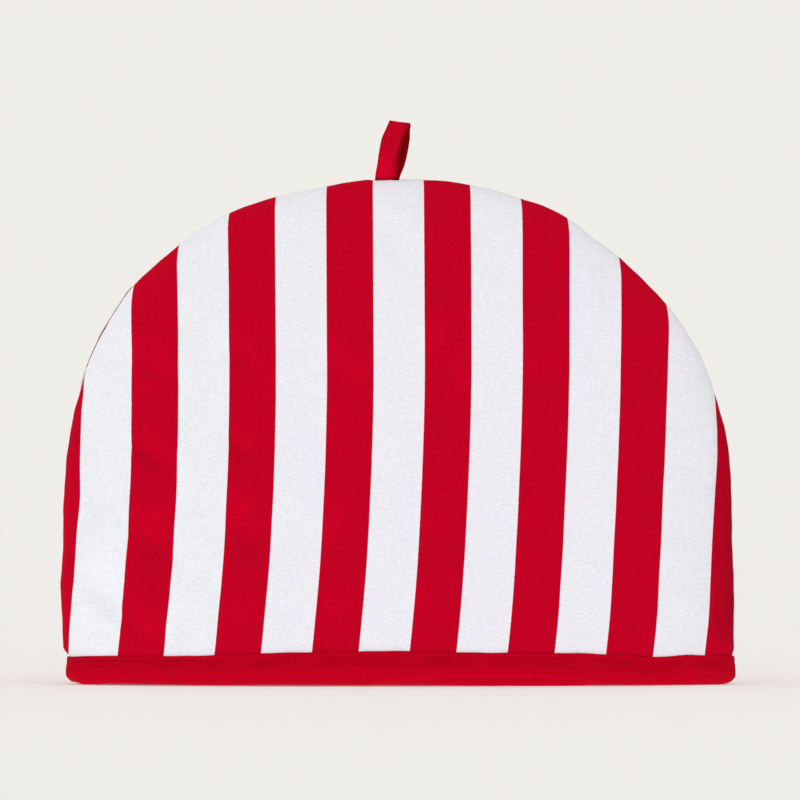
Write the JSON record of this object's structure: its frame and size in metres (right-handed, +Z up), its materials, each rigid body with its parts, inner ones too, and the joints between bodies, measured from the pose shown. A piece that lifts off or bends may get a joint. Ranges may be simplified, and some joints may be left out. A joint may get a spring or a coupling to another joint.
{
  "type": "tea cosy",
  "caption": "Padded D-shaped tea cosy in striped cotton, open underneath, with a bound hem that it stands on and a tape loop at the top.",
  "frame": {"origin": "on the surface that it stands on, under the middle of the hem", "axes": "+X to the right along the hem as seen from the front, +Y from the front panel to the back one, +Z up"},
  "size_m": [0.3497, 0.0928, 0.293],
  "materials": {
    "striped_cotton": "matte",
    "red_cotton": "matte"
  },
  "bodies": {
    "root": {"front_panel": "striped_cotton", "back_panel": "striped_cotton", "hem_binding": "red_cotton", "hanging_loop": "red_cotton"}
  },
  "joints": []
}
